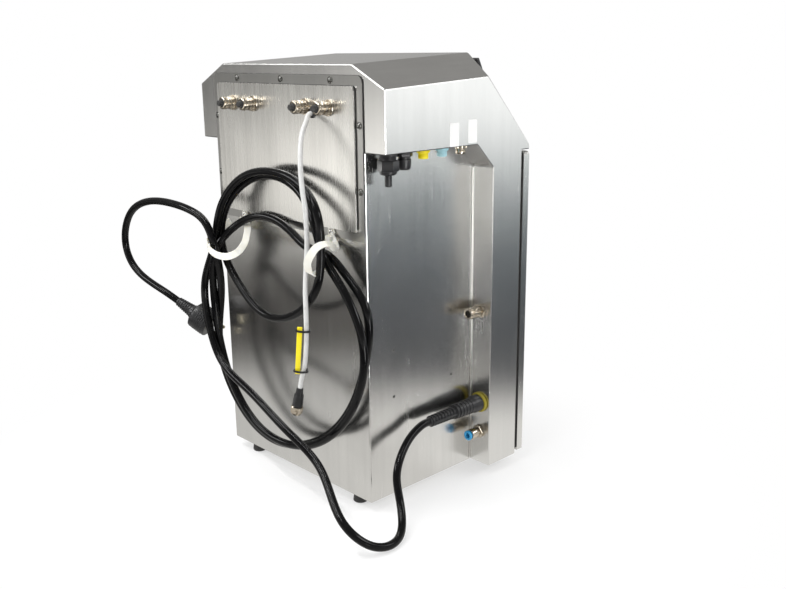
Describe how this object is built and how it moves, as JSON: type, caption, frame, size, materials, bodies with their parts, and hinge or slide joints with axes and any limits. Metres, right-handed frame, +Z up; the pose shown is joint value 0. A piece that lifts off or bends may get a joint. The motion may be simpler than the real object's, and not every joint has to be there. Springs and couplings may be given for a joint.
{
  "type": "date code inkjet printer",
  "caption": "Stainless steel cabinet of a date code inkjet printer: hooded body, front door, sloped control panel, rear connector plate, side ports and a coiled mains cord.",
  "frame": {"origin": "on the floor under the middle of the cabinet's bounding box, cords left out", "axes": "+Z up; +Y out of the back, where the connector plate is; the door faces -Y; the ports are on the -X side"},
  "size_m": [0.517, 0.3377, 0.5237],
  "materials": {
    "brushed_steel": "brushed",
    "flange_steel": "brushed, darker",
    "nickel": "nickel plated",
    "black_plastic": "fine texture",
    "rubber": "matt",
    "cord_black": "satin cord sheath",
    "cable_grey": "satin cable sheath",
    "nylon": "natural nylon",
    "yellow_plastic": "satin",
    "blue_plastic": "satin",
    "pale_blue_plastic": "satin",
    "tank_plastic": "natural",
    "board_green": "solder mask",
    "grey_plastic": "satin",
    "screen_glass": "polished, dark",
    "green_key": "satin",
    "red_key": "satin"
  },
  "bodies": {
    "cabinet": {"hood_skin": "brushed_steel", "rear_shell": "brushed_steel", "base_plate": "brushed_steel", "connector_plate": "brushed_steel", "chassis_panel": "brushed_steel", "cover_flange": "flange_steel", "foot_1": "rubber", "foot_2": "rubber", "foot_3": "rubber", "foot_4": "rubber", "door_gasket": "rubber", "back_socket_1": "nickel", "back_socket_2": "nickel", "back_socket_3": "nickel", "back_socket_4": "nickel", "network_socket": "nickel", "encoder_socket": "nickel", "air_fitting": "nickel", "hinge_pin_low": "nickel", "hinge_pin_top": "nickel", "pump_head": "nickel", "valve_block": "nickel", "printhead_gland": "black_plastic", "spare_gland": "black_plastic", "power_inlet": "black_plastic", "switch_frame": "black_plastic", "control_panel": "black_plastic", "fan_frame": "black_plastic", "inlet_plug": "black_plastic", "mains_plug": "black_plastic", "signal_plug": "black_plastic", "sensor_socket": "yellow_plastic", "inlet_seal_ring": "yellow_plastic", "cable_marker": "yellow_plastic", "beacon_socket": "pale_blue_plastic", "screen_glass": "screen_glass", "power_supply": "grey_plastic", "drip_tray": "grey_plastic", "pump_motor": "grey_plastic", "control_board": "board_green", "ink_tank": "tank_plastic", "solvent_tank": "tank_plastic", "ink_filter": "tank_plastic", "cord_strap_left": "nylon", "cord_strap_right": "nylon", "mains_cord": "cord_black", "signal_cable": "cable_grey"},
    "door": {"door_panel": "brushed_steel"},
    "latch": {"door_latch": "black_plastic"},
    "start_key": {"key_start": "green_key"},
    "up_key": {"key_up": "grey_plastic"},
    "down_key": {"key_down": "grey_plastic"},
    "stop_key": {"key_stop": "red_key"},
    "rocker": {"switch_rocker": "black_plastic"},
    "rotor": {"fan_rotor": "black_plastic"},
    "pump_shaft": {"pump_coupling": "black_plastic"},
    "collar": {"release_collar": "blue_plastic"},
    "ink_lid": {"ink_cap": "black_plastic"},
    "solvent_lid": {"solvent_cap": "black_plastic"},
    "plug_ring": {"coupling_ring": "nickel"}
  },
  "joints": [
    {"name": "door_hinge", "type": "hinge", "parent": "cabinet", "child": "door", "pos_m": [0.16585, -0.13888, 0.2], "axis": [0, 0, 1], "range_deg": [0, 110]},
    {"name": "latch_turn", "type": "hinge", "parent": "door", "child": "latch", "pos_m": [-0.138, -0.14403, 0.212], "axis": [0, 1, 0], "range_deg": [0, 90]},
    {"name": "start_key_press", "type": "slide", "parent": "cabinet", "child": "start_key", "axis": [0, 0.8874, -0.461], "range_m": [0, 0.0012], "stiffness_N_per_m": 600, "springref_m": -0.0012},
    {"name": "up_key_press", "type": "slide", "parent": "cabinet", "child": "up_key", "axis": [0, 0.8874, -0.461], "range_m": [0, 0.0012], "stiffness_N_per_m": 600, "springref_m": -0.0012},
    {"name": "down_key_press", "type": "slide", "parent": "cabinet", "child": "down_key", "axis": [0, 0.8874, -0.461], "range_m": [0, 0.0012], "stiffness_N_per_m": 600, "springref_m": -0.0012},
    {"name": "stop_key_press", "type": "slide", "parent": "cabinet", "child": "stop_key", "axis": [0, 0.8874, -0.461], "range_m": [0, 0.0012], "stiffness_N_per_m": 600, "springref_m": -0.0012},
    {"name": "power_rock", "type": "hinge", "parent": "cabinet", "child": "rocker", "pos_m": [0.155, -0.07723, 0.097], "axis": [1, 0, 0], "range_deg": [0, 16]},
    {"name": "fan_spin", "type": "hinge", "parent": "cabinet", "child": "rotor", "pos_m": [0.082, 0.04027, 0.028], "axis": [0, 0, 1], "continuous": true},
    {"name": "pump_spin", "type": "hinge", "parent": "cabinet", "child": "pump_shaft", "pos_m": [0.01, -0.04673, 0.276], "axis": [1, 0, 0], "continuous": true},
    {"name": "collar_press", "type": "slide", "parent": "cabinet", "child": "collar", "axis": [0, -1, 0], "range_m": [0, 0.0012], "stiffness_N_per_m": 500, "springref_m": -0.0012},
    {"name": "ink_cap_turn", "type": "hinge", "parent": "cabinet", "child": "ink_lid", "pos_m": [-0.0665, -0.07073, 0.19], "axis": [0, 0, 1], "continuous": true},
    {"name": "solvent_cap_turn", "type": "hinge", "parent": "cabinet", "child": "solvent_lid", "pos_m": [0.0665, -0.07073, 0.19], "axis": [0, 0, 1], "continuous": true},
    {"name": "plug_ring_turn", "type": "hinge", "parent": "cabinet", "child": "plug_ring", "pos_m": [-0.06826, 0.14427, 0.13042], "axis": [0.2685, 0, -0.9633], "continuous": true}
  ]
}
